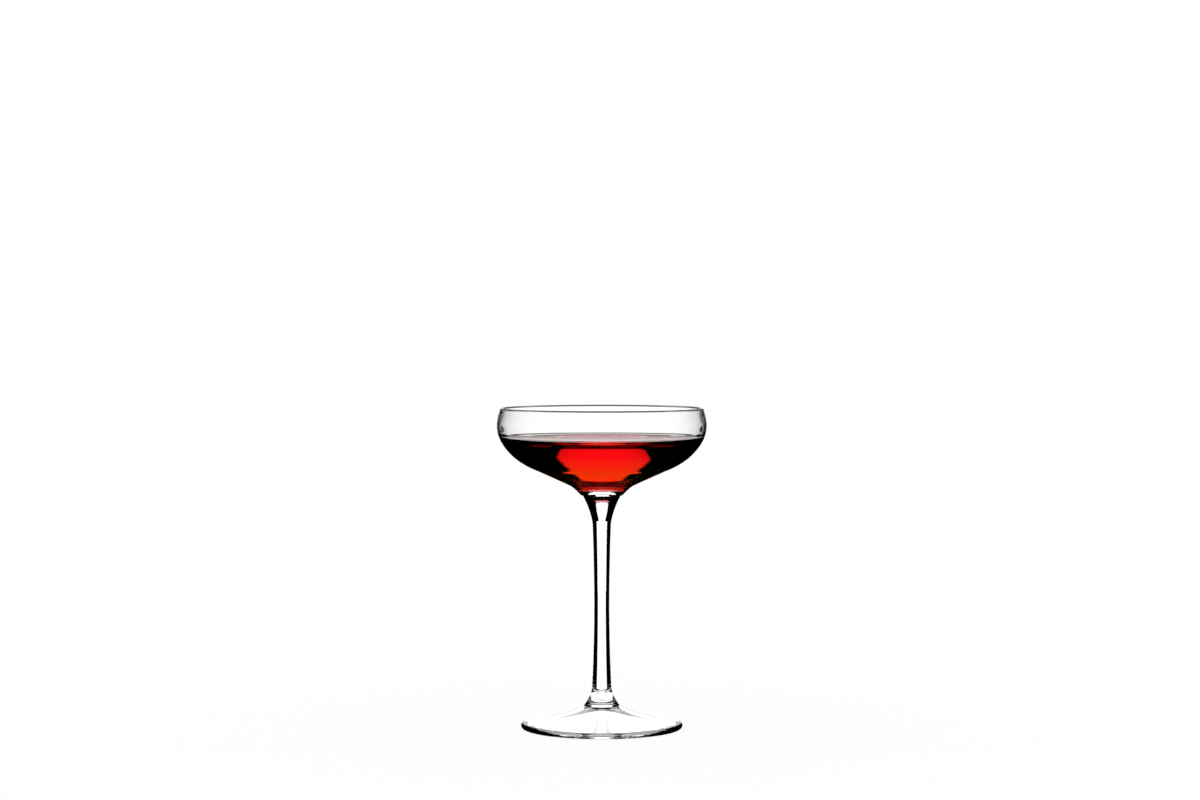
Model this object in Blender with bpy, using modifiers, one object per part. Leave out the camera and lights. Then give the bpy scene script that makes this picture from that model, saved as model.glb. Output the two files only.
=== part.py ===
"""Coupe glass with a red drink: four turned solids that stand on one axis.

The glass is three-piece stemware. A blown bowl, a drawn stem and a spun foot are welded hot,
flat face to flat face. The drink fills the bowl up to its level and climbs a little at the wall.
All sizes are in metres. The foot stands on z = 0, and Z is the axis of the glass.
"""

import math

import bpy
from mathutils import Vector
from mathutils.geometry import interpolate_bezier

# Lengths along the axis
FOOT_SEAT_HEIGHT = 0.0103
STEM_LENGTH = 0.0946
BOWL_HEIGHT = 0.0395

# Clearances between solids
WELD_GAP = 0.0003
DRINK_GAP = 0.0003

# Bowl
RIM_RADIUS = 0.0462
RIM_LEAN = math.radians(19)
LIP = 0.0010
BELLY_RADIUS = 0.0475
BELLY_DROP = 0.0080
WALL = 0.0012
SHOULDER_RADIUS = 0.0360
SHOULDER_HEIGHT = 0.0138
SHOULDER_SLOPE = math.radians(20)
KNUCKLE_RADIUS = 0.0142
KNUCKLE_HEIGHT = 0.00425
CONE_SLOPE = math.radians(25.5)
BOWL_FLOOR = 0.0030
FLOOR_RADIUS = 0.0030

# Weld between bowl and stem: the bowl's flat seat stands a little proud of the stem
BOWL_SEAT_RADIUS = 0.0094
BOWL_SEAT_SLOPE = math.radians(47)
BOWL_SEAT_LEDGE = 0.0007
STEM_TOP_SLOPE = math.radians(60)

# Stem: a neck under the bowl, a waist at the middle and an ankle over the foot
NECK_RADIUS = 0.0041
NECK_DROP = 0.0140
WAIST_RADIUS = 0.0034
WAIST_HEIGHT = 0.0450
ANKLE_RADIUS = 0.0044
ANKLE_HEIGHT = 0.0082
FLARE_RADIUS = 0.0081
FLARE_SLOPE = math.radians(50)

# Foot: a shell that follows its own top, on a flat resting ring
FOOT_RADIUS = 0.0366
FOOT_EDGE = 0.0028
FOOT_SEAT_LEDGE = 0.0003
FOOT_TOP_SLOPE = math.radians(25)
FOOT_RIM_SLOPE = math.radians(7)
FOOT_SHELL = 0.0026
FOOT_MIDDLE = 0.0020
REST_RING_WIDTH = 0.0024

# Drink: its edge is drawn up the wall as far as a liquid of this capillary length climbs
DRINK_DROP = 0.0150
CAPILLARY_LENGTH = 0.0022
MENISCUS_SLOPE = math.radians(82)

# Facets: segments of a full turn, and points along one curve of a profile
TURN_SEGMENTS = 48
LIP_POINTS = 5
EDGE_POINTS = 5
CURVE_POINTS = 8
SHORT_CURVE_POINTS = 5
MERGE_DISTANCE = 0.00001

# Handles of a smooth curve reach this share of the way to its corner
ROUNDNESS = 0.58
RIM_ROUNDNESS = 0.64

STRAIGHT_DOWN = Vector((0, -1))
INWARD = Vector((-1, 0))


def slope_down(angle):
    """Direction in the profile plane that runs inward and down, at an angle to the horizontal."""
    return Vector((-math.cos(angle), -math.sin(angle)))


def slope_out(angle):
    """Direction in the profile plane that runs outward and down, at an angle to the horizontal."""
    return Vector((math.cos(angle), -math.sin(angle)))


def square_to(angle):
    """Direction square to a face that runs inward and down, on its upper side."""
    return Vector((-math.sin(angle), math.cos(angle)))


def curve(start, start_way, end, end_way, count, roundness=ROUNDNESS):
    """Smooth curve from start to end, leaving along start_way and arriving along end_way.

    The first point is left out, so that curves chain.
    """
    turn = start_way.x * end_way.y - start_way.y * end_way.x
    span = end - start
    to_corner = (span.x * end_way.y - span.y * end_way.x) / turn
    from_corner = (start_way.x * span.y - start_way.y * span.x) / turn
    start_handle = start + start_way * to_corner * roundness
    end_handle = end - end_way * from_corner * roundness
    points = interpolate_bezier(start, start_handle, end_handle, end, count)
    return [Vector((point.x, point.y)) for point in points[1:]]


def arc(centre, radius, first_angle, last_angle, count):
    """Points on a circular arc in the profile plane."""
    angles = [first_angle + (last_angle - first_angle) * step / (count - 1) for step in range(count)]
    return [centre + Vector((math.cos(angle), math.sin(angle))) * radius for angle in angles]


def bowl_side(inset, lip_point):
    """Side of the bowl from the lip to the end of its cone, at a depth inside its outer surface."""
    belly = Vector((BELLY_RADIUS - inset, BOWL_HEIGHT - BELLY_DROP))
    shoulder = Vector((SHOULDER_RADIUS, SHOULDER_HEIGHT)) + square_to(SHOULDER_SLOPE) * inset
    knuckle = Vector((KNUCKLE_RADIUS, KNUCKLE_HEIGHT)) + square_to(CONE_SLOPE) * inset
    rim_way = slope_out(math.pi / 2 - RIM_LEAN)
    shoulder_way = slope_down(SHOULDER_SLOPE)
    side = [lip_point]
    side += curve(lip_point, rim_way, belly, STRAIGHT_DOWN, SHORT_CURVE_POINTS, RIM_ROUNDNESS)
    side += curve(belly, STRAIGHT_DOWN, shoulder, shoulder_way, CURVE_POINTS)
    side += curve(shoulder, shoulder_way, knuckle, slope_down(CONE_SLOPE), SHORT_CURVE_POINTS)
    return side


def bowl_inside(clearance):
    """Inner surface of the bowl from the lip to the middle of its floor, less a clearance."""
    lip_point = Vector((RIM_RADIUS - LIP - clearance, BOWL_HEIGHT - LIP / 2))
    inside = bowl_side(WALL + clearance, lip_point)
    floor_edge = Vector((FLOOR_RADIUS, BOWL_FLOOR + clearance))
    inside += curve(inside[-1], slope_down(CONE_SLOPE), floor_edge, INWARD, CURVE_POINTS)
    inside.append(Vector((0, floor_edge.y)))
    return inside


def bowl_profile():
    """Bowl: up the inside from the middle of its floor, over the lip and down the outside."""
    inside = bowl_inside(0)
    lip_centre = Vector((RIM_RADIUS - LIP / 2, BOWL_HEIGHT - LIP / 2))
    lip = arc(lip_centre, LIP / 2, math.pi, 0, LIP_POINTS)
    outside = bowl_side(0, lip[-1])
    seat_edge = Vector((BOWL_SEAT_RADIUS, 0))
    knuckle = curve(
        outside[-1], slope_down(CONE_SLOPE), seat_edge, slope_down(BOWL_SEAT_SLOPE), SHORT_CURVE_POINTS
    )
    return inside[::-1] + lip[1:-1] + outside + knuckle + [Vector((0, 0))]


def stem_profile():
    """Stem: from the middle of its top face, down its flared outside to the middle of its lower face."""
    top_edge = Vector((BOWL_SEAT_RADIUS - BOWL_SEAT_LEDGE, STEM_LENGTH))
    neck = Vector((NECK_RADIUS, STEM_LENGTH - NECK_DROP))
    waist = Vector((WAIST_RADIUS, WAIST_HEIGHT))
    ankle = Vector((ANKLE_RADIUS, ANKLE_HEIGHT))
    foot_edge = Vector((FLARE_RADIUS, 0))
    neck_way = Vector((2 * (WAIST_RADIUS - NECK_RADIUS), WAIST_HEIGHT - neck.y)).normalized()
    ankle_way = Vector((2 * (ANKLE_RADIUS - WAIST_RADIUS), ANKLE_HEIGHT - WAIST_HEIGHT)).normalized()
    profile = [Vector((0, STEM_LENGTH)), top_edge]
    profile += curve(top_edge, slope_down(STEM_TOP_SLOPE), neck, neck_way, CURVE_POINTS)
    profile += curve(neck, neck_way, waist, STRAIGHT_DOWN, SHORT_CURVE_POINTS)
    profile += curve(waist, STRAIGHT_DOWN, ankle, ankle_way, SHORT_CURVE_POINTS)
    profile += curve(ankle, ankle_way, foot_edge, slope_out(FLARE_SLOPE), CURVE_POINTS)
    profile.append(Vector((0, 0)))
    return profile


def foot_profile():
    """Foot: from the middle of its seat, down its top, round its edge and in under it."""
    edge_radius = FOOT_EDGE / 2
    edge_centre = Vector((FOOT_RADIUS - edge_radius, edge_radius))
    edge = arc(edge_centre, edge_radius, math.pi / 2 - FOOT_RIM_SLOPE, -math.pi / 2, EDGE_POINTS)
    seat_edge = Vector((FLARE_RADIUS + FOOT_SEAT_LEDGE, FOOT_SEAT_HEIGHT))
    ring_edge = Vector((edge_centre.x - REST_RING_WIDTH, 0))
    under_seat = seat_edge - square_to(-FOOT_TOP_SLOPE) * FOOT_SHELL
    underside_middle = Vector((0, FOOT_SEAT_HEIGHT - FOOT_MIDDLE))
    top_way = slope_out(FOOT_TOP_SLOPE)
    rim_way = slope_out(FOOT_RIM_SLOPE)
    profile = [Vector((0, FOOT_SEAT_HEIGHT)), seat_edge]
    profile += curve(seat_edge, top_way, edge[0], rim_way, CURVE_POINTS)
    profile += edge[1:]
    profile.append(ring_edge)
    profile += curve(ring_edge, -rim_way, under_seat, -top_way, CURVE_POINTS)
    profile += curve(under_seat, -top_way, underside_middle, INWARD, SHORT_CURVE_POINTS)
    return profile


def drink_profile():
    """Drink: out along its level, up the meniscus and down the wall to the middle of the floor."""
    level = BOWL_HEIGHT - DRINK_DROP
    wall = bowl_inside(DRINK_GAP)
    contact = point_at_height(wall, level + meniscus_rise(MENISCUS_SLOPE))
    profile = [Vector((0, level))]
    for step in range(1, SHORT_CURVE_POINTS + 1):
        slope = MENISCUS_SLOPE * (step / SHORT_CURVE_POINTS) ** 2
        from_wall = meniscus_reach(MENISCUS_SLOPE) - meniscus_reach(slope)
        profile.append(Vector((contact.x - from_wall, level + meniscus_rise(slope))))
    profile += [point for point in wall if point.y < contact.y]
    return profile


def meniscus_rise(slope):
    """Height above the level at which the drawn-up edge of the drink has a slope."""
    return 2 * CAPILLARY_LENGTH * math.sin(slope / 2)


def meniscus_reach(slope):
    """Place towards the wall, from a fixed point, at which that edge has a slope."""
    return CAPILLARY_LENGTH * (math.log(math.tan(slope / 4)) + 2 * math.cos(slope / 2))


def point_at_height(points, height):
    """Point where a profile that runs downward crosses a height."""
    for upper, lower in zip(points, points[1:]):
        if upper.y > height >= lower.y:
            return upper.lerp(lower, (upper.y - height) / (upper.y - lower.y))
    raise ValueError("the profile doesn't reach this height")


def glass_material():
    """Clear, colourless glass."""
    material = bpy.data.materials.new("clear_glass")
    material.use_nodes = True
    shader = material.node_tree.nodes["Principled BSDF"]
    shader.inputs["Base Color"].default_value = (0.93, 0.96, 0.96, 1)
    shader.inputs["Roughness"].default_value = 0.02
    shader.inputs["Metallic"].default_value = 0
    shader.inputs["IOR"].default_value = 1.5
    shader.inputs["Transmission Weight"].default_value = 1
    return material


def drink_material():
    """Clear red drink, nearly black where it is deep."""
    material = bpy.data.materials.new("red_drink")
    material.use_nodes = True
    shader = material.node_tree.nodes["Principled BSDF"]
    shader.inputs["Base Color"].default_value = (0.72, 0.02, 0.01, 1)
    shader.inputs["Roughness"].default_value = 0.02
    shader.inputs["Metallic"].default_value = 0
    shader.inputs["IOR"].default_value = 1.35
    shader.inputs["Transmission Weight"].default_value = 1
    return material


def turned(name, profile, material, collection):
    """Solid turned from a profile of radius and height about the Z axis."""
    mesh = bpy.data.meshes.new(name)
    vertices = [(point.x, 0, point.y) for point in profile]
    edges = [(index, index + 1) for index in range(len(profile) - 1)]
    mesh.from_pydata(vertices, edges, [])
    mesh.materials.append(material)
    solid = bpy.data.objects.new(name, mesh)
    collection.objects.link(solid)
    screw = solid.modifiers.new("turn", "SCREW")
    screw.axis = "Z"
    screw.angle = math.tau
    screw.steps = TURN_SEGMENTS
    screw.render_steps = TURN_SEGMENTS
    screw.use_smooth_shade = True
    screw.use_merge_vertices = True
    screw.merge_threshold = MERGE_DISTANCE
    return solid


def build():
    """Build the glass and its drink, each piece seated on the one below it."""
    for leftover in list(bpy.data.objects):
        bpy.data.objects.remove(leftover, do_unlink=True)
    collection = bpy.data.collections.new("coupe_glass")
    bpy.context.scene.collection.children.link(collection)
    glass = glass_material()

    foot = turned("foot", foot_profile(), glass, collection)
    stem = turned("stem", stem_profile(), glass, collection)
    bowl = turned("bowl", bowl_profile(), glass, collection)
    drink = turned("drink", drink_profile(), drink_material(), collection)

    stem.parent = foot
    stem.location.z = FOOT_SEAT_HEIGHT + WELD_GAP
    bowl.parent = stem
    bowl.location.z = STEM_LENGTH + WELD_GAP
    drink.parent = bowl


build()
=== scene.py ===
"""Looks of a coupe glass with a red drink, in bright-field studio light.

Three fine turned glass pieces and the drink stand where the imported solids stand. White panels
behind and under the glass are all that shows in it, in a dark room, so its edges and the sides of
the drink turn dark.
All sizes are in metres, and Z is the axis of the glass.
"""

import math

import bpy
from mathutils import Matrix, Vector
from mathutils.geometry import interpolate_bezier


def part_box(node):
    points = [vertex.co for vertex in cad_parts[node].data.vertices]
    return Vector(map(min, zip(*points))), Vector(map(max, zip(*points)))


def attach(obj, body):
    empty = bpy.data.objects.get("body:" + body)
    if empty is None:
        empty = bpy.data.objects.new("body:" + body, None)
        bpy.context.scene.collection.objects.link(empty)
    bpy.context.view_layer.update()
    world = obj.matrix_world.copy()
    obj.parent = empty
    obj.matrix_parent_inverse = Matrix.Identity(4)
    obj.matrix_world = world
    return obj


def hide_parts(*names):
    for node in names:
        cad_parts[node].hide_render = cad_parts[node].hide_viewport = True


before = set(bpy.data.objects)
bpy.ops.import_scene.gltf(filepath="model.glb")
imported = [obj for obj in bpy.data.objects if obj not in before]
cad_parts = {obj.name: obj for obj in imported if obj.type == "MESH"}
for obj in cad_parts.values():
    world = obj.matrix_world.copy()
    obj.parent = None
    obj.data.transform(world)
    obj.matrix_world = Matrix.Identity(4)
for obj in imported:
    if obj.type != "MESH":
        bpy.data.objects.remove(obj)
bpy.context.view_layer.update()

# Main sizes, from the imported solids
FOOT_SEAT_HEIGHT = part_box("foot")[1].z
FOOT_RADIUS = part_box("foot")[1].x
BOWL_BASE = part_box("bowl")[0].z
RIM_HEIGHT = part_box("bowl")[1].z
BELLY_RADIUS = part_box("bowl")[1].x
DRINK_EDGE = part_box("drink")[1].z

# Bowl
RIM_RADIUS = 0.0462
RIM_LEAN = math.radians(19)
LIP = 0.0014
BELLY_DROP = 0.0080
WALL = 0.0012
SHOULDER_RADIUS = 0.0305
SHOULDER_RISE = 0.0114
SHOULDER_SLOPE = math.radians(22)
KNUCKLE_RADIUS = 0.0142
KNUCKLE_RISE = 0.00425
CONE_SLOPE = math.radians(25.5)
BOWL_FLOOR = 0.0030
FLOOR_RADIUS = 0.0030
BOWL_SEAT_RADIUS = 0.0094
BOWL_SEAT_SLOPE = math.radians(47)
BOWL_SEAT_LEDGE = 0.0007

# Stem
STEM_TOP_SLOPE = math.radians(60)
NECK_RADIUS = 0.0041
NECK_DROP = 0.0140
WAIST_RADIUS = 0.0034
WAIST_RISE = 0.0450
ANKLE_RADIUS = 0.0044
ANKLE_RISE = 0.0082
FLARE_RADIUS = 0.0081
FLARE_SLOPE = math.radians(50)

# Foot
FOOT_EDGE = 0.0028
FOOT_SEAT_LEDGE = 0.0003
FOOT_TOP_SLOPE = math.radians(25)
FOOT_RIM_SLOPE = math.radians(7)
REST_RING_WIDTH = 0.0024
FOOT_SHELL = 0.0026
FOOT_MIDDLE = 0.0020

# Drink
CAPILLARY_LENGTH = 0.0022
MENISCUS_SLOPE = math.radians(82)
FILM = 0.00015
FILM_RISE = 0.0009
FILM_TOP = DRINK_EDGE + FILM_RISE
DRINK_OVERLAP = 0.00005

# Fineness of the turned meshes
TURN_SEGMENTS = 256
LONG_CURVE = 40
SHORT_CURVE = 24
ARC_POINTS = 17
ROUNDNESS = 0.58
RIM_ROUNDNESS = 0.64
SHARP_EDGE = math.radians(32)
ON_AXIS = 0.000001

# Optics
WHITE = (1, 1, 1, 1)
GLASS_IOR = 1.5
# Painted shade: the lip's glass is tinted dark grey so that the rim looks dark
LIP_PAINTED_SHADE_COLOUR = (0.15, 0.15, 0.15, 1)
GLASS_ROUGHNESS = 0.01
GLASS_WAVE_SCALE = 40
GLASS_WAVE_HEIGHT = 0.00001
POLISH_SCALE = 120
WAVE_DETAIL = 1
DRINK_IOR = 1.34
DRINK_ROUGHNESS = 0.006
DRINK_WAVE_SCALE = 90
DRINK_WAVE_HEIGHT = 0.000004
DRINK_DENSITY = 300
DRINK_COLOUR = (1, 0.83, 0.86, 1)

# Tints of the drink at the wall of the glass, by height over the bowl's base; the dark band just
# under the drink's edge is painted shade
ORANGE_TINT = (1, 1, 0.02, 1)
RED_TINT = (1, 0.5, 0.1, 1)
CRIMSON_TINT = (1, 0.1, 0.2, 1)
# Painted shade: near-black tint for a band of the drink at the wall just under its edge
PAINTED_SHADE_TINT = (0.02, 0, 0, 1)
LAYERS = [
    (0.0040, WHITE),
    (0.0065, ORANGE_TINT),
    (0.0115, ORANGE_TINT),
    (0.0155, RED_TINT),
    (0.0195, CRIMSON_TINT),
    (0.0228, CRIMSON_TINT),
    # Painted shade band just under the drink's edge
    (0.0232, PAINTED_SHADE_TINT),
    (0.0247, PAINTED_SHADE_TINT),
    (0.0250, WHITE),
]

# Camera, for a picture of 1200 by 800
LENS = 85
SENSOR = 36
CAMERA_PLACE = Vector((-0.0008, -1.2787, 0.1867))
CAMERA_PITCH = math.radians(1.71)

# Studio. White of this level stays white behind two walls of glass.
LEVEL = 1.2
LIGHT_BOUNCES = 32
GLOSS_BOUNCES = 16

# Each row of a panel has degrees left, right and up as seen from the bowl, and a strength
PANEL_DISTANCE = 10.0
PANEL_SOFT = 0.8
MAIN_PANEL = [
    (7, 7, -11.5, LEVEL),
    (7.5, 7.5, -7.7, LEVEL),
    (8.2, 8.2, -3.2, LEVEL),
    (9.5, 9.5, -1.5, LEVEL),
    (12.2, 12.2, -1.2, LEVEL),
    (12.2, 12.2, 0.9, LEVEL),
    (11.2, 10, 2.5, LEVEL),
    (12.5, 10.5, 6, LEVEL),
    (14.2, 12.2, 8.5, LEVEL),
    (15, 13, 11, LEVEL),
    (17, 15, 15, LEVEL),
    (19, 17, 20, LEVEL),
    (19, 17, 38, LEVEL),
    (24, 24, 38.1, LEVEL),
    (24, 24, 51, LEVEL),
]
SKIRT_SIDE = 11
SKIRT_PALE = 0.8
SKIRT_DARK = 0.1
SKIRT_PANEL = [
    (SKIRT_SIDE, SKIRT_SIDE, -35, SKIRT_PALE),
    (SKIRT_SIDE, SKIRT_SIDE, -17.1, SKIRT_PALE),
    (SKIRT_SIDE, SKIRT_SIDE, -17, SKIRT_DARK),
    (SKIRT_SIDE, SKIRT_SIDE, -11.5, SKIRT_DARK),
]

# Name, distance behind the axis of the glass, half width, bottom and top of each card
CARDS = [
    ("foot_card", 0.16, 0.061, -0.040, 0.066),
    ("neck_card", 0.08, 0.0315, 0.055, 0.104),
]
MAT_HOLE = 0.0001
MAT_RADIUS = 0.033
MAT_DROP = 0.0001
COLLAR_INSIDE = 0.0095
COLLAR_OUTSIDE = 0.060
COLLAR_DROP = 0.0001
AMBIENT = 1.0
FLOOR_SIZE = 30
FLOOR_DROP = 0.0002
FLOOR_COLOUR = (0.95, 0.95, 0.95, 1)
FLOOR_WHITE = 0.9

# Directions in the profile plane, and slots of the turned pieces
STRAIGHT_DOWN = Vector((0, -1))
INWARD = Vector((-1, 0))
CLEAR, WELD, WET, RIM = range(4)


def slope_down(angle):
    """Direction in the profile plane that runs inward and down, at an angle to the horizontal."""
    return Vector((-math.cos(angle), -math.sin(angle)))


def slope_out(angle):
    """Direction in the profile plane that runs outward and down, at an angle to the horizontal."""
    return Vector((math.cos(angle), -math.sin(angle)))


def inward(slope):
    """Direction square to a face that runs inward and down, towards the inside of the bowl."""
    return Vector((-math.sin(slope), math.cos(slope)))


def curve(start, start_way, end, end_way, count, roundness=ROUNDNESS):
    """Smooth curve from start to end, leaving along start_way and arriving along end_way.

    The first point is left out, so that curves chain.
    """
    turn = start_way.x * end_way.y - start_way.y * end_way.x
    span = end - start
    to_corner = (span.x * end_way.y - span.y * end_way.x) / turn
    from_corner = (start_way.x * span.y - start_way.y * span.x) / turn
    start_handle = start + start_way * to_corner * roundness
    end_handle = end - end_way * from_corner * roundness
    points = interpolate_bezier(start, start_handle, end_handle, end, count)
    return [Vector((point.x, point.y)) for point in points[1:]]


def straight(start, end, count):
    """Evenly spaced points from start to end, without the first."""
    return [start.lerp(end, step / count) for step in range(1, count + 1)]


def arc(centre, radius, first_angle, last_angle):
    """Points on a circular arc in the profile plane."""
    steps = [step / (ARC_POINTS - 1) for step in range(ARC_POINTS)]
    angles = [first_angle + (last_angle - first_angle) * share for share in steps]
    return [centre + Vector((math.cos(angle), math.sin(angle))) * radius for angle in angles]


def bowl_side(inset, lip_point):
    """Side of the bowl from the lip to the end of its cone, at a depth inside its outer surface."""
    belly = Vector((BELLY_RADIUS - inset, RIM_HEIGHT - BELLY_DROP))
    shoulder = Vector((SHOULDER_RADIUS, BOWL_BASE + SHOULDER_RISE))
    shoulder += inward(SHOULDER_SLOPE) * inset
    knuckle = Vector((KNUCKLE_RADIUS, BOWL_BASE + KNUCKLE_RISE))
    knuckle += inward(CONE_SLOPE) * inset
    shoulder_way = slope_down(SHOULDER_SLOPE)
    rim_way = slope_out(math.pi / 2 - RIM_LEAN)
    side = [lip_point]
    side += curve(lip_point, rim_way, belly, STRAIGHT_DOWN, SHORT_CURVE, RIM_ROUNDNESS)
    side += curve(belly, STRAIGHT_DOWN, shoulder, shoulder_way, LONG_CURVE)
    side += curve(shoulder, shoulder_way, knuckle, slope_down(CONE_SLOPE), SHORT_CURVE)
    return side


def bowl_inside(clearance):
    """Inner surface of the bowl from the lip to the middle of its floor, less a clearance."""
    lip_point = Vector((RIM_RADIUS - LIP - clearance, RIM_HEIGHT - LIP / 2))
    inside = bowl_side(WALL + clearance, lip_point)
    floor_height = BOWL_BASE + BOWL_FLOOR + clearance
    floor_edge = Vector((FLOOR_RADIUS, floor_height))
    inside += curve(inside[-1], slope_down(CONE_SLOPE), floor_edge, INWARD, LONG_CURVE)
    inside += straight(floor_edge, Vector((0, floor_height)), SHORT_CURVE)
    return inside


def split_at_height(points, height):
    """Two parts of a profile that runs downward, cut at a height. Both hold the point of the cut."""
    for index, (upper, lower) in enumerate(zip(points, points[1:])):
        if upper.y > height >= lower.y:
            cut = upper.lerp(lower, (upper.y - height) / (upper.y - lower.y))
            return points[:index + 1] + [cut], [cut] + points[index + 1:]
    raise ValueError("the profile doesn't reach this height")


def bowl_runs():
    """Bowl: up the inside from the middle of its floor, over the lip and down the outside."""
    dry, wet = split_at_height(bowl_inside(0), FILM_TOP)
    lip_centre = Vector((RIM_RADIUS - LIP / 2, RIM_HEIGHT - LIP / 2))
    lip = arc(lip_centre, LIP / 2, math.pi, 0)
    outside = bowl_side(0, lip[-1])
    seat_edge = Vector((BOWL_SEAT_RADIUS, BOWL_BASE))
    outside += curve(
        outside[-1], slope_down(CONE_SLOPE), seat_edge, slope_down(BOWL_SEAT_SLOPE), SHORT_CURVE
    )
    weld_edge = Vector((BOWL_SEAT_RADIUS - BOWL_SEAT_LEDGE, BOWL_BASE))
    return [
        (WET, wet[::-1]),
        (CLEAR, dry[::-1]),
        (RIM, lip),
        (CLEAR, outside + [weld_edge]),
        (WELD, [weld_edge, Vector((0, BOWL_BASE))]),
    ]


def stem_runs():
    """Stem: from its weld under the bowl, down its flared outside to its weld on the foot."""
    top_edge = Vector((BOWL_SEAT_RADIUS - BOWL_SEAT_LEDGE, BOWL_BASE))
    neck = Vector((NECK_RADIUS, BOWL_BASE - NECK_DROP))
    waist = Vector((WAIST_RADIUS, FOOT_SEAT_HEIGHT + WAIST_RISE))
    ankle = Vector((ANKLE_RADIUS, FOOT_SEAT_HEIGHT + ANKLE_RISE))
    foot_edge = Vector((FLARE_RADIUS, FOOT_SEAT_HEIGHT))
    neck_way = Vector((2 * (waist.x - neck.x), waist.y - neck.y)).normalized()
    ankle_way = Vector((2 * (ankle.x - waist.x), ankle.y - waist.y)).normalized()
    side = [top_edge]
    side += curve(top_edge, slope_down(STEM_TOP_SLOPE), neck, neck_way, LONG_CURVE)
    side += curve(neck, neck_way, waist, STRAIGHT_DOWN, SHORT_CURVE)
    side += curve(waist, STRAIGHT_DOWN, ankle, ankle_way, SHORT_CURVE)
    side += curve(ankle, ankle_way, foot_edge, slope_out(FLARE_SLOPE), LONG_CURVE)
    return [
        (WELD, [Vector((0, BOWL_BASE)), top_edge]),
        (CLEAR, side),
        (WELD, [foot_edge, Vector((0, FOOT_SEAT_HEIGHT))]),
    ]


def foot_runs():
    """Foot: from its weld under the stem, down its top, round its edge and in under it."""
    edge_radius = FOOT_EDGE / 2
    edge_centre = Vector((FOOT_RADIUS - edge_radius, edge_radius))
    edge = arc(edge_centre, edge_radius, math.pi / 2 - FOOT_RIM_SLOPE, -math.pi / 2)
    weld_edge = Vector((FLARE_RADIUS, FOOT_SEAT_HEIGHT))
    seat_edge = Vector((FLARE_RADIUS + FOOT_SEAT_LEDGE, FOOT_SEAT_HEIGHT))
    ring_edge = Vector((edge_centre.x - REST_RING_WIDTH, 0))
    shell = Vector((-math.sin(FOOT_TOP_SLOPE), -math.cos(FOOT_TOP_SLOPE))) * FOOT_SHELL
    under_seat = seat_edge + shell
    underside_middle = Vector((0, FOOT_SEAT_HEIGHT - FOOT_MIDDLE))
    top = curve(seat_edge, slope_out(FOOT_TOP_SLOPE), edge[0], slope_out(FOOT_RIM_SLOPE), LONG_CURVE)
    up_top = -slope_out(FOOT_TOP_SLOPE)
    underside = curve(ring_edge, -slope_out(FOOT_RIM_SLOPE), under_seat, up_top, LONG_CURVE)
    underside += curve(under_seat, up_top, underside_middle, INWARD, SHORT_CURVE)
    return [
        (WELD, [Vector((0, FOOT_SEAT_HEIGHT)), weld_edge]),
        (CLEAR, [weld_edge, seat_edge] + top + edge[1:] + [ring_edge] + underside),
    ]


def drink_runs():
    """Drink: out along its level, up the meniscus and down the wall to the middle of the floor."""
    wall = split_at_height(bowl_inside(-DRINK_OVERLAP), FILM_TOP)[1]
    level = DRINK_EDGE - meniscus_rise(MENISCUS_SLOPE)
    edge = split_at_height(bowl_inside(FILM), DRINK_EDGE)[1][0]
    surface = [Vector((0, level))]
    for step in range(1, LONG_CURVE + 1):
        slope = MENISCUS_SLOPE * (step / LONG_CURVE) ** 2
        from_edge = meniscus_reach(MENISCUS_SLOPE) - meniscus_reach(slope)
        surface.append(Vector((edge.x - from_edge, level + meniscus_rise(slope))))
    film = straight(edge, wall[0], SHORT_CURVE)
    return [(CLEAR, surface + film), (WELD, wall)]


def meniscus_rise(slope):
    """Height above the level at which the drawn-up edge of the drink has a slope."""
    return 2 * CAPILLARY_LENGTH * math.sin(slope / 2)


def meniscus_reach(slope):
    """Place towards the wall, from any fixed point, where that edge has a slope."""
    return CAPILLARY_LENGTH * (math.log(math.tan(slope / 4)) + 2 * math.cos(slope / 2))


def turned(name, runs, materials):
    """Closed piece turned about Z, from runs of profile points that each have a material slot."""
    vertices = []
    rings = []
    slots = []
    faces = []
    face_slots = []
    profile = []
    for slot, points in runs:
        for point in points if not profile else points[1:]:
            if profile:
                slots.append(slot)
            profile.append(point)
    for point in profile:
        if point.x < ON_AXIS:
            rings.append([len(vertices)] * TURN_SEGMENTS)
            vertices.append((0, 0, point.y))
        else:
            rings.append(range(len(vertices), len(vertices) + TURN_SEGMENTS))
            for segment in range(TURN_SEGMENTS):
                angle = math.tau * segment / TURN_SEGMENTS
                vertices.append((point.x * math.cos(angle), point.x * math.sin(angle), point.y))
    for slot, ring, next_ring in zip(slots, rings, rings[1:]):
        for segment in range(TURN_SEGMENTS):
            following = (segment + 1) % TURN_SEGMENTS
            corners = [ring[segment], next_ring[segment], next_ring[following], ring[following]]
            faces.append(list(dict.fromkeys(corners)))
            face_slots.append(slot)
    mesh = bpy.data.meshes.new(name)
    mesh.from_pydata(vertices, [], faces)
    for material in materials:
        mesh.materials.append(material)
    mesh.polygons.foreach_set("material_index", face_slots)
    mesh.shade_smooth()
    mesh.set_sharp_from_angle(angle=SHARP_EDGE)
    piece = bpy.data.objects.new(name, mesh)
    bpy.context.scene.collection.objects.link(piece)
    return piece


def principled(name):
    """New node material and its Principled BSDF."""
    material = bpy.data.materials.new(name)
    material.use_nodes = True
    return material, material.node_tree.nodes["Principled BSDF"]


def glass_material(name, ior, colour=WHITE):
    """Clear glass with an index of refraction and a tint."""
    material, shader = principled(name)
    shader.inputs["Base Color"].default_value = colour
    shader.inputs["IOR"].default_value = ior
    shader.inputs["Transmission Weight"].default_value = 1
    surface_detail(material, shader, GLASS_ROUGHNESS, GLASS_WAVE_SCALE, GLASS_WAVE_HEIGHT)
    return material


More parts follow.
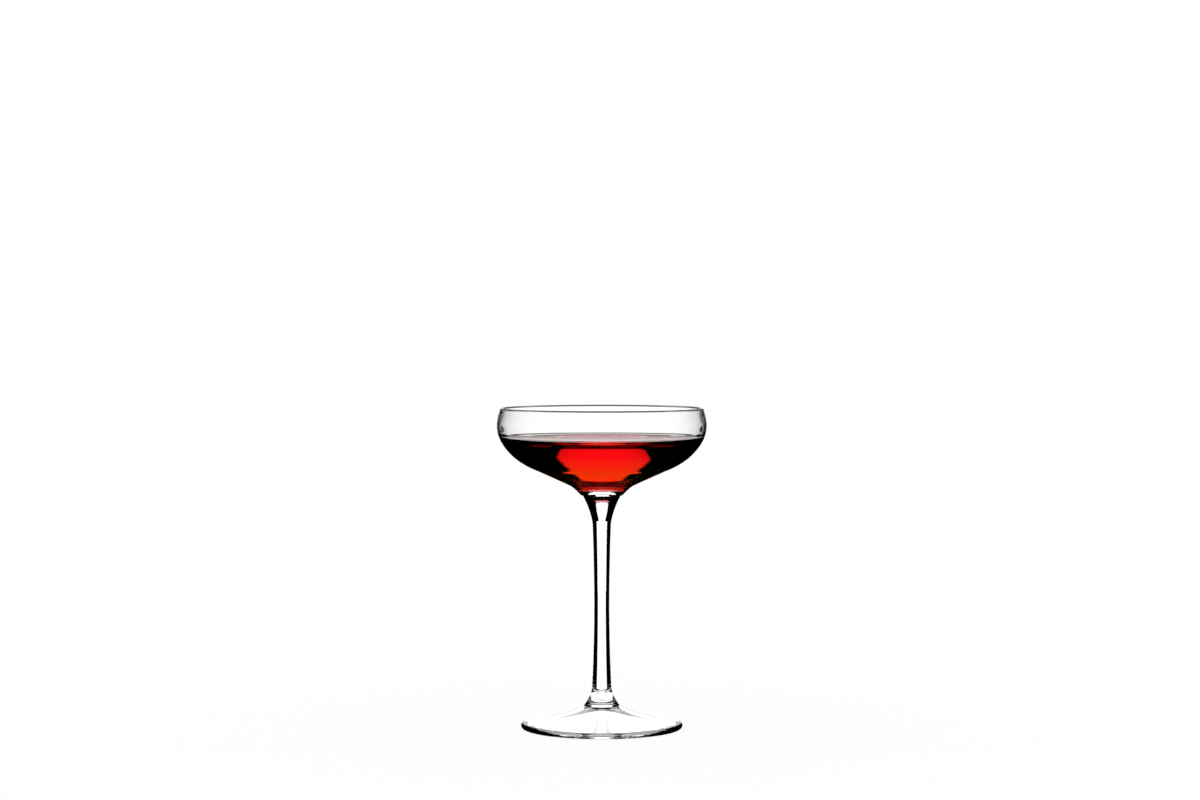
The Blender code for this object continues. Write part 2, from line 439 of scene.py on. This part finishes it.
def surface_detail(material, shader, roughness, wave_scale, wave_height):
    """Uneven polish and gentle waves of a surface that set while it was soft."""
    nodes = material.node_tree.nodes
    links = material.node_tree.links
    place = nodes.new("ShaderNodeTexCoord")
    patches = nodes.new("ShaderNodeTexNoise")
    patches.inputs["Scale"].default_value = POLISH_SCALE
    polish = nodes.new("ShaderNodeMapRange")
    polish.inputs["To Max"].default_value = roughness
    waves = nodes.new("ShaderNodeTexNoise")
    waves.inputs["Scale"].default_value = wave_scale
    waves.inputs["Detail"].default_value = WAVE_DETAIL
    bump = nodes.new("ShaderNodeBump")
    bump.inputs["Distance"].default_value = wave_height
    links.new(place.outputs["Object"], patches.inputs["Vector"])
    links.new(patches.outputs["Fac"], polish.inputs["Value"])
    links.new(polish.outputs["Result"], shader.inputs["Roughness"])
    links.new(place.outputs["Object"], waves.inputs["Vector"])
    links.new(waves.outputs["Fac"], bump.inputs["Height"])
    links.new(bump.outputs["Normal"], shader.inputs["Normal"])


def weld_material():
    """Inside of a weld, where two pieces of glass are one: nothing shows there."""
    material = bpy.data.materials.new("weld")
    material.use_nodes = True
    nodes = material.node_tree.nodes
    nodes.clear()
    through = nodes.new("ShaderNodeBsdfTransparent")
    output = nodes.new("ShaderNodeOutputMaterial")
    material.node_tree.links.new(through.outputs[0], output.inputs["Surface"])
    return material


def drink_material():
    """Clear red drink: crimson above, orange below, black where it is deep, and a band of painted
    shade under its edge.
    """
    material, shader = principled("red_drink")
    nodes = material.node_tree.nodes
    links = material.node_tree.links
    shader.inputs["Transmission Weight"].default_value = 1
    surface_detail(material, shader, DRINK_ROUGHNESS, DRINK_WAVE_SCALE, DRINK_WAVE_HEIGHT)
    wall = nodes.new("ShaderNodeAttribute")
    wall.attribute_name = "at_wall"
    ior = nodes.new("ShaderNodeMapRange")
    ior.inputs["To Min"].default_value = DRINK_IOR
    ior.inputs["To Max"].default_value = 1
    links.new(wall.outputs["Fac"], ior.inputs["Value"])
    links.new(ior.outputs["Result"], shader.inputs["IOR"])
    tint = nodes.new("ShaderNodeMix")
    tint.data_type = "RGBA"
    colour_in = [socket for socket in tint.inputs if socket.type == "RGBA"]
    colour_in[0].default_value = WHITE
    links.new(wall.outputs["Fac"], tint.inputs["Factor"])
    links.new(layers(nodes, links), colour_in[1])
    colour_out = [socket for socket in tint.outputs if socket.type == "RGBA"]
    links.new(colour_out[0], shader.inputs["Base Color"])
    depth = nodes.new("ShaderNodeVolumeAbsorption")
    depth.inputs["Color"].default_value = DRINK_COLOUR
    depth.inputs["Density"].default_value = DRINK_DENSITY
    links.new(depth.outputs[0], nodes["Material Output"].inputs["Volume"])
    return material


def layers(nodes, links):
    """Colour of the drink by height, where its layers run into each other, with a dark band of
    painted shade under its edge.
    """
    lowest = LAYERS[0][0]
    span = LAYERS[-1][0] - lowest
    place = nodes.new("ShaderNodeTexCoord")
    split = nodes.new("ShaderNodeSeparateXYZ")
    height = nodes.new("ShaderNodeMapRange")
    height.inputs["From Min"].default_value = BOWL_BASE + lowest
    height.inputs["From Max"].default_value = BOWL_BASE + lowest + span
    ramp = nodes.new("ShaderNodeValToRGB")
    ramp.color_ramp.elements.remove(ramp.color_ramp.elements[1])
    ramp.color_ramp.elements[0].color = LAYERS[0][1]
    for rise, tint in LAYERS[1:]:
        ramp.color_ramp.elements.new((rise - lowest) / span).color = tint
    links.new(place.outputs["Object"], split.inputs[0])
    links.new(split.outputs["Z"], height.inputs["Value"])
    links.new(height.outputs["Result"], ramp.inputs["Fac"])
    return ramp.outputs["Color"]


def build_glass():
    """The four pieces, each in place of its solid."""
    clear = glass_material("clear_glass", GLASS_IOR)
    wet = glass_material("wet_glass", GLASS_IOR / DRINK_IOR)
    weld = weld_material()
    # The lip gets glass tinted dark grey, which is painted shade
    rim = glass_material("rim_glass_painted_shade", GLASS_IOR, LIP_PAINTED_SHADE_COLOUR)
    bowl = turned("glass_bowl", bowl_runs(), [clear, weld, wet, rim])
    stem = turned("glass_stem", stem_runs(), [clear, weld])
    foot = turned("glass_foot", foot_runs(), [clear, weld])
    red = drink_material()
    drink = turned("red_drink", drink_runs(), [red, red])
    mark_wall(drink)
    for piece, node, slot in (
        (bowl, "bowl", "clear_glass"),
        (stem, "stem", "clear_glass"),
        (foot, "foot", "clear_glass"),
        (drink, "drink", "red_drink"),
    ):
        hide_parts(node)
        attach(piece, "root")


def mark_wall(drink):
    """Notes on each face of the drink whether it lies on the wall of the glass."""
    mark = drink.data.attributes.new("at_wall", "FLOAT", "FACE")
    for face, value in zip(drink.data.polygons, mark.data):
        value.value = float(face.material_index)


def build_camera():
    """Camera where the photograph was taken from."""
    data = bpy.data.cameras.new("camera")
    data.lens = LENS
    data.sensor_width = SENSOR
    camera = bpy.data.objects.new("camera", data)
    camera.location = CAMERA_PLACE
    camera.rotation_euler = (math.pi / 2 - CAMERA_PITCH, 0, 0)
    bpy.context.scene.collection.objects.link(camera)
    bpy.context.scene.camera = camera
    return camera


def emission_material(name):
    """Plain white light, as strong at each point as its mesh says."""
    material = bpy.data.materials.new(name)
    material.use_nodes = True
    nodes = material.node_tree.nodes
    links = material.node_tree.links
    nodes.clear()
    strength = nodes.new("ShaderNodeAttribute")
    strength.attribute_name = "strength"
    light = nodes.new("ShaderNodeEmission")
    output = nodes.new("ShaderNodeOutputMaterial")
    links.new(strength.outputs["Fac"], light.inputs["Strength"])
    links.new(light.outputs[0], output.inputs["Surface"])
    return material


def build_panel(camera, name, rows):
    """White panel with soft sides far behind the glass, which follows the camera."""
    reach = PANEL_DISTANCE + CAMERA_PLACE.y
    axis_height = CAMERA_PLACE.z - PANEL_DISTANCE * math.tan(CAMERA_PITCH)
    corners = []
    faces = []
    strengths = []
    for number, (left, right, height, strength) in enumerate(rows):
        up = BOWL_BASE - axis_height + reach * math.tan(math.radians(height))
        sides = [-left - PANEL_SOFT, -left + PANEL_SOFT, right - PANEL_SOFT, right + PANEL_SOFT]
        columns = len(sides)
        for angle in sides:
            corners.append((reach * math.tan(math.radians(angle)), up, -PANEL_DISTANCE))
        strengths += [0, strength, strength, 0]
        if number:
            for corner in range(columns * number, columns * (number + 1) - 1):
                below = corner - columns
                faces.append((below, below + 1, corner + 1, corner))
    panel = studio_light(name, corners, faces, strengths)
    panel.parent = camera
    return panel


def build_card(camera, name, distance, half_width, bottom, top):
    """Small white card close behind the glass, which follows the camera and shows in glass alone."""
    away = CAMERA_PLACE.y - distance
    axis_height = CAMERA_PLACE.z + away * math.tan(CAMERA_PITCH)
    low = bottom - axis_height
    high = top - axis_height
    corners = [
        (-half_width, low, away),
        (half_width, low, away),
        (half_width, high, away),
        (-half_width, high, away),
    ]
    card = studio_light(name, corners, [range(len(corners))], [LEVEL] * len(corners))
    card.parent = camera
    card.visible_glossy = False


def build_ring(name, inside, outside, height, strength):
    """Flat level ring about the axis of the glass."""
    corners = []
    faces = []
    for segment in range(TURN_SEGMENTS):
        angle = math.tau * segment / TURN_SEGMENTS
        for radius in (inside, outside):
            corners.append((radius * math.cos(angle), radius * math.sin(angle), height))
        following = (segment + 1) % TURN_SEGMENTS
        faces.append((2 * segment, 2 * segment + 1, 2 * following + 1, 2 * following))
    return studio_light(name, corners, faces, [strength] * len(corners))


def build_mat():
    """White mat under the foot, which shows in glass alone."""
    mat = build_ring("mat", MAT_HOLE, MAT_RADIUS, -MAT_DROP, LEVEL)
    mat.visible_glossy = False


def build_collar():
    """Dark ring round the bowl's base, which shows in gloss alone."""
    collar = build_ring("collar", COLLAR_INSIDE, COLLAR_OUTSIDE, BOWL_BASE - COLLAR_DROP, 0)
    collar.visible_transmission = False


def studio_light(name, corners, faces, strengths):
    """Flat shape in the studio, lit as strongly as given, that shows in gloss and glass alone."""
    mesh = bpy.data.meshes.new(name)
    mesh.from_pydata(corners, [], faces)
    mesh.materials.append(emission_material(name))
    mesh.attributes.new("strength", "FLOAT", "POINT").data.foreach_set("value", strengths)
    light = bpy.data.objects.new(name, mesh)
    light.visible_camera = False
    light.visible_diffuse = False
    light.visible_shadow = False
    bpy.context.scene.collection.objects.link(light)
    return light


def floor_material():
    """Pale floor that shows white to the camera and keeps a faint shadow."""
    material = bpy.data.materials.new("floor")
    material.use_nodes = True
    nodes = material.node_tree.nodes
    links = material.node_tree.links
    nodes.clear()
    path = nodes.new("ShaderNodeLightPath")
    share = nodes.new("ShaderNodeMath")
    share.operation = "MULTIPLY"
    share.inputs[1].default_value = FLOOR_WHITE
    lit = nodes.new("ShaderNodeBsdfDiffuse")
    lit.inputs["Color"].default_value = FLOOR_COLOUR
    white = nodes.new("ShaderNodeEmission")
    mixed = nodes.new("ShaderNodeMixShader")
    output = nodes.new("ShaderNodeOutputMaterial")
    in_glass = nodes.new("ShaderNodeMath")
    in_glass.operation = "MAXIMUM"
    shown = nodes.new("ShaderNodeMath")
    shown.operation = "MAXIMUM"
    links.new(path.outputs["Is Glossy Ray"], in_glass.inputs[0])
    links.new(path.outputs["Is Transmission Ray"], in_glass.inputs[1])
    links.new(path.outputs["Is Camera Ray"], shown.inputs[0])
    links.new(in_glass.outputs[0], shown.inputs[1])
    links.new(shown.outputs[0], share.inputs[0])
    links.new(share.outputs[0], mixed.inputs["Fac"])
    links.new(lit.outputs[0], mixed.inputs[1])
    links.new(white.outputs[0], mixed.inputs[2])
    links.new(mixed.outputs[0], output.inputs["Surface"])
    return material


def build_floor():
    """Level floor just under the glass."""
    half = FLOOR_SIZE / 2
    corners = [(-half, -half, 0), (half, -half, 0), (half, half, 0), (-half, half, 0)]
    mesh = bpy.data.meshes.new("floor")
    mesh.from_pydata(corners, [], [range(len(corners))])
    mesh.materials.append(floor_material())
    floor = bpy.data.objects.new("floor", mesh)
    floor.location.z = -FLOOR_DROP
    floor.visible_transmission = False
    floor.visible_glossy = False
    bpy.context.scene.collection.objects.link(floor)


def build_world():
    """White to the camera, even soft light on the floor, and dark in the glass."""
    world = bpy.data.worlds.new("studio")
    world.use_nodes = True
    bpy.context.scene.world = world
    nodes = world.node_tree.nodes
    links = world.node_tree.links
    background = nodes["Background"]
    background.inputs["Color"].default_value = WHITE
    path = nodes.new("ShaderNodeLightPath")
    in_glass = nodes.new("ShaderNodeMath")
    in_glass.operation = "MAXIMUM"
    plain = nodes.new("ShaderNodeMapRange")
    plain.inputs["To Min"].default_value = AMBIENT
    plain.inputs["To Max"].default_value = 0
    shown = nodes.new("ShaderNodeMath")
    shown.operation = "MAXIMUM"
    links.new(path.outputs["Is Glossy Ray"], in_glass.inputs[0])
    links.new(path.outputs["Is Transmission Ray"], in_glass.inputs[1])
    links.new(in_glass.outputs[0], plain.inputs["Value"])
    links.new(plain.outputs["Result"], shown.inputs[0])
    links.new(path.outputs["Is Camera Ray"], shown.inputs[1])
    links.new(shown.outputs[0], background.inputs["Strength"])


bpy.context.scene.view_settings.view_transform = "Standard"
bpy.context.scene.cycles.max_bounces = LIGHT_BOUNCES
bpy.context.scene.cycles.transmission_bounces = LIGHT_BOUNCES
bpy.context.scene.cycles.transparent_max_bounces = LIGHT_BOUNCES
bpy.context.scene.cycles.glossy_bounces = GLOSS_BOUNCES
build_glass()
build_floor()
build_world()
camera = build_camera()
build_panel(camera, "main_panel", MAIN_PANEL)
skirt = build_panel(camera, "skirt_panel", SKIRT_PANEL)
skirt.visible_glossy = False
for name, distance, half_width, bottom, top in CARDS:
    build_card(camera, name, distance, half_width, bottom, top)
build_mat()
build_collar()
